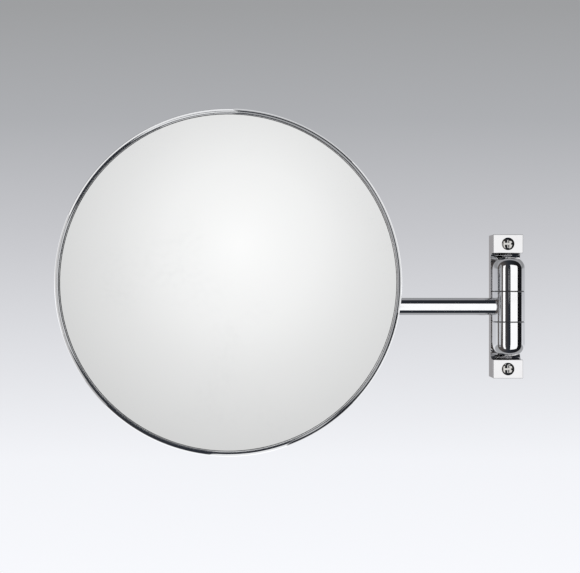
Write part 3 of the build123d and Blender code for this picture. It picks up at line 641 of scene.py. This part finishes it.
def softbox(name, left, right, brightness):
    """A tall soft light in front of the object, between two angles from straight ahead."""
    x_left = softbox_distance * tan(radians(left))
    x_right = softbox_distance * tan(radians(right))
    place = ((x_left + x_right) / 2, -softbox_distance, (softbox_bottom + softbox_top) / 2)
    size = (x_right - x_left, softbox_top - softbox_bottom)
    return soft_light(name, place, facing_back, size, brightness)


def flag(light, state, *pieces):
    """Keeps a light off some pieces, or for them alone."""
    reach = bpy.data.collections.new(f"{light.name}_flag")
    for piece in pieces:
        reach.objects.link(piece)
    for member in reach.collection_objects:
        member.light_linking.link_state = state
    light.light_linking.receiver_collection = reach


wide_softbox = softbox("wide_softbox", left=3.75, right=56.0, brightness=1.3)
flag(wide_softbox, "EXCLUDE", rim, glass)
narrow_softbox = softbox("narrow_softbox", left=-50.0, right=-34.0, brightness=1.3)
flag(narrow_softbox, "EXCLUDE", rim, glass)

# Strips in a frame close round the mirror light its rim alone, in place of the softboxes
frame_left, frame_right = -0.345, -0.045
frame_low, frame_high = -0.13, 0.165
frame_back = 0.055
facing_right, facing_left = (0, -90), (0, 90)
facing_down, facing_up = (0, 0), (180, 0)


def upright_strip(name, x, facing, heights, depths, brightness):
    """A strip beside the rim, between two heights and two depths."""
    (low, high), (front, back) = heights, depths
    place = (x, (front + back) / 2, (low + high) / 2)
    strip = soft_light(name, place, facing, (high - low, back - front), brightness)
    flag(strip, "INCLUDE", rim)


def level_strip(name, z, facing, sides, depths, brightness):
    """A strip above or below the rim, between two sides and two depths."""
    (left, right), (front, back) = sides, depths
    place = ((left + right) / 2, (front + back) / 2, z)
    strip = soft_light(name, place, facing, (right - left, back - front), brightness)
    flag(strip, "INCLUDE", rim)


# Each strip's name, heights, depths and brightness
left_strips = [
    ("lower_left_strip", (frame_low, -0.085), (-0.26, frame_back), 0.42),
    ("middle_left_strip", (-0.085, -0.03), (-0.26, frame_back), 0.58),
    ("left_strip", (-0.03, 0.08), (-0.26, frame_back), 0.7),
    ("upper_left_strip", (0.08, frame_high), (-0.25, -0.06), 1.05),
]
right_strips = [
    ("upper_right_strip", (-0.01, frame_high), (-0.14, frame_back), 0.85),
    ("lower_right_strip", (frame_low, -0.01), (-0.095, frame_back), 0.8),
]
for name, heights, depths, brightness in left_strips:
    upright_strip(name, frame_left, facing_right, heights, depths, brightness)
for name, heights, depths, brightness in right_strips:
    upright_strip(name, frame_right, facing_left, heights, depths, brightness)

# Each strip's name, sides, depths and brightness
top_strips = [
    ("top_left_strip", (frame_left, -0.19), (-0.25, -0.06), 1.05),
    ("top_right_strip", (-0.19, frame_right), (-0.11, frame_back), 0.6),
]
bottom_strips = [
    ("bottom_left_strip", (frame_left, -0.21), (-0.085, frame_back), 0.9),
    ("bottom_strip", (-0.21, -0.142), (-0.26, frame_back), 1.05),
    ("bottom_right_strip", (-0.142, frame_right), (-0.085, frame_back), 0.6),
]
for name, sides, depths, brightness in top_strips:
    level_strip(name, frame_high, facing_down, sides, depths, brightness)
for name, sides, depths, brightness in bottom_strips:
    level_strip(name, frame_low, facing_up, sides, depths, brightness)

# Cards in front of the mirror, which the flat face of its rim shows: each card's name, sides,
# heights and brightness
rim_card_depth = -0.67
rim_cards = [
    ("left_card", (-0.42, -0.345), (-0.061, 0.091), 0.75),
    ("top_left_card", (-0.325, -0.21), (0.165, 0.22), 1.0),
    ("upper_right_card", (-0.21, -0.1), (0.135, 0.22), 0.42),
    ("right_card", (-0.1, -0.02), (-0.12, 0.22), 0.46),
    ("lower_right_card", (-0.15, -0.1), (-0.17, -0.115), 0.58),
]
for name, (left, right), (low, high), brightness in rim_cards:
    place = ((left + right) / 2, rim_card_depth, (low + high) / 2)
    rim_card = soft_light(name, place, facing_back, (right - left, high - low), brightness)
    flag(rim_card, "INCLUDE", rim)


def glow_paint(name):
    """A material that only glows, and its glow."""
    material, tree, matt = new_material(name)
    tree.nodes.remove(matt)
    glow = add_node(tree, "ShaderNodeEmission")
    show(tree, glow.outputs["Emission"])
    return material, glow


def upright_sheet(name, sides, heights, y):
    """A flat upright sheet, which is seen only in reflections."""
    (left, right), (low, high) = sides, heights
    points = [(left, y, low), (right, y, low), (right, y, high), (left, y, high)]
    return stage_piece(name, points, [(0, 1, 2, 3)], in_view=False)


# A glowing grey strip beside the bracket: painted shade in place of a shaded strip of wall, which
# the bracket's side shows to the camera as a painted dark reflection
shade_strip_sides, shade_strip_heights = (-0.0156, -0.011), (-0.055, 0.055)
shade_strip_y = 0.01
# Painted shade: the mid grey that the strip glows with
painted_shade_grey = (0.4, 0.39, 0.4)
shade_strip = upright_sheet("shade_strip", shade_strip_sides, shade_strip_heights, shade_strip_y)
shade_strip_paint, shade_strip_glow = glow_paint("shade_strip")
shade_strip_glow.inputs["Color"].default_value = (*painted_shade_grey, 1.0)
shade_strip.data.materials.append(shade_strip_paint)

# A small lit card far in front, which is all that the hollow glass shows from the camera
card_centre = (-0.2901, -2.2, 0.0168)
card_reach = 0.04
card_tones = [
    (0.0, (1.03, 1.03, 1.03)),
    (0.3, (0.93, 0.93, 0.93)),
    (0.5, (0.82, 0.82, 0.82)),
    (1.0, (0.6, 0.6, 0.6)),
]
card_span = (-card_reach, card_reach)
card = upright_sheet("glass_card", card_span, card_span, 0)
card.location = card_centre
card_paint, card_glow = glow_paint("glass_card")
card_tree = card_paint.node_tree
from_centre = add_node(card_tree, "ShaderNodeVectorMath", {"operation": "LENGTH"})
card_tree.links.new(piece_place(card_tree), from_centre.inputs[0])
card_share = combined(card_tree, "DIVIDE", from_centre.outputs["Value"], card_reach)
card_tree.links.new(graded(card_tree, card_share, card_tones), card_glow.inputs["Color"])
card.data.materials.append(card_paint)

# The pale walls round the studio, softly lit and far off, which the glass alone shows
wall_reach = 15.0
walls_waves, walls_detail = 5.0, 0.0
walls_lit, walls_unlit = -0.1, 0.16
walls_tones = [
    (0.32, (0.26, 0.26, 0.27)),
    (0.5, (0.54, 0.54, 0.55)),
    (0.68, (0.84, 0.84, 0.85)),
]
wall_sides = (-wall_reach, wall_reach)
walls_points = [(x, y, z) for x in wall_sides for y in wall_sides for z in wall_sides]
walls_faces = [
    (0, 1, 3, 2),
    (4, 6, 7, 5),
    (0, 4, 5, 1),
    (2, 3, 7, 6),
    (0, 2, 6, 4),
    (1, 5, 7, 3),
]
walls = stage_piece("studio_walls", walls_points, walls_faces, in_view=False)
walls.visible_diffuse = False
walls.visible_shadow = False
flag(walls, "INCLUDE", glass)
walls_paint, walls_glow = glow_paint("studio_walls")
walls_tree = walls_paint.node_tree
walls_way = add_node(walls_tree, "ShaderNodeVectorMath", {"operation": "NORMALIZE"})
walls_tree.links.new(piece_place(walls_tree), walls_way.inputs[0])
walls_direction = walls_way.outputs["Vector"]
walls_light = soft_noise(walls_tree, walls_direction, walls_waves, walls_detail)
walls_depth = split_axes(walls_tree, walls_direction)["Y"]
walls_strength = between(walls_tree, walls_depth, walls_lit, walls_unlit, 1.0, 0.0)
walls_tree.links.new(walls_strength, walls_glow.inputs["Strength"])
walls_tree.links.new(graded(walls_tree, walls_light, walls_tones), walls_glow.inputs["Color"])
walls_clear = add_node(walls_tree, "ShaderNodeBsdfTransparent")
walls_sum = add_node(walls_tree, "ShaderNodeAddShader")
walls_tree.links.new(walls_glow.outputs["Emission"], walls_sum.inputs[0])
walls_tree.links.new(walls_clear.outputs["BSDF"], walls_sum.inputs[1])
show(walls_tree, walls_sum.outputs["Shader"])
walls_paint.cycles.emission_sampling = "NONE"
walls.data.materials.append(walls_paint)

# The rest of the room: dark cloth on the camera's side, pale paper on the far side
cloth_tones = [
    (0.0, (0.12, 0.105, 0.1)),
    (0.25, (0.05, 0.05, 0.055)),
    (0.45, (0.03, 0.035, 0.045)),
    (1.0, (0.01, 0.01, 0.012)),
]
far_tones = [
    (0.0, (0.46, 0.465, 0.48)),
    (0.3, (0.46, 0.465, 0.48)),
    (0.5, (0.62, 0.62, 0.64)),
    (1.0, (0.4, 0.4, 0.42)),
]
cloth_end, far_start = 0.06, 0.16
room = bpy.data.worlds.new("studio_room")
room.use_nodes = True
bpy.context.scene.world = room
room_tree = room.node_tree


def room_blend(share, near, far):
    """A colour of the room that goes from one to another along a share."""
    mix = add_node(room_tree, "ShaderNodeMix", {"data_type": "RGBA"})
    room_tree.links.new(share, mix.inputs["Factor"])
    room_tree.links.new(near, mix.inputs["A"])
    room_tree.links.new(far, mix.inputs["B"])
    return mix.outputs["Result"]


room_way = add_node(room_tree, "ShaderNodeTexCoord").outputs["Generated"]
room_axes = split_axes(room_tree, room_way)
cloth = graded(room_tree, between(room_tree, room_axes["X"], -1.0, 1.0), cloth_tones)
far_paper = graded(room_tree, between(room_tree, room_axes["Z"], -1.0, 1.0), far_tones)
far_share = between(room_tree, room_axes["Y"], cloth_end, far_start)
room_light = room_blend(far_share, cloth, far_paper)
room_camera = add_node(room_tree, "ShaderNodeLightPath").outputs["Is Camera Ray"]
room_colour = room_blend(room_camera, room_light, far_paper)
room_tree.links.new(room_colour, room_tree.nodes["Background"].inputs["Color"])


# Camera
# Square to the wall, level with the mirror, about a metre away: a long lens at the photograph's
# viewing angle.
image_width = 580
focal_pixels = 1376
camera_place = (-0.152, -0.979, 0.0139)
camera = bpy.data.objects.new("camera", bpy.data.cameras.new("camera"))
camera.data.sensor_width = 36.0
camera.data.lens = camera.data.sensor_width * focal_pixels / image_width
camera.location = camera_place
camera.rotation_euler = (radians(90), 0, 0)
bpy.context.scene.collection.objects.link(camera)
bpy.context.scene.camera = camera
bpy.context.scene.view_settings.view_transform = "Standard"
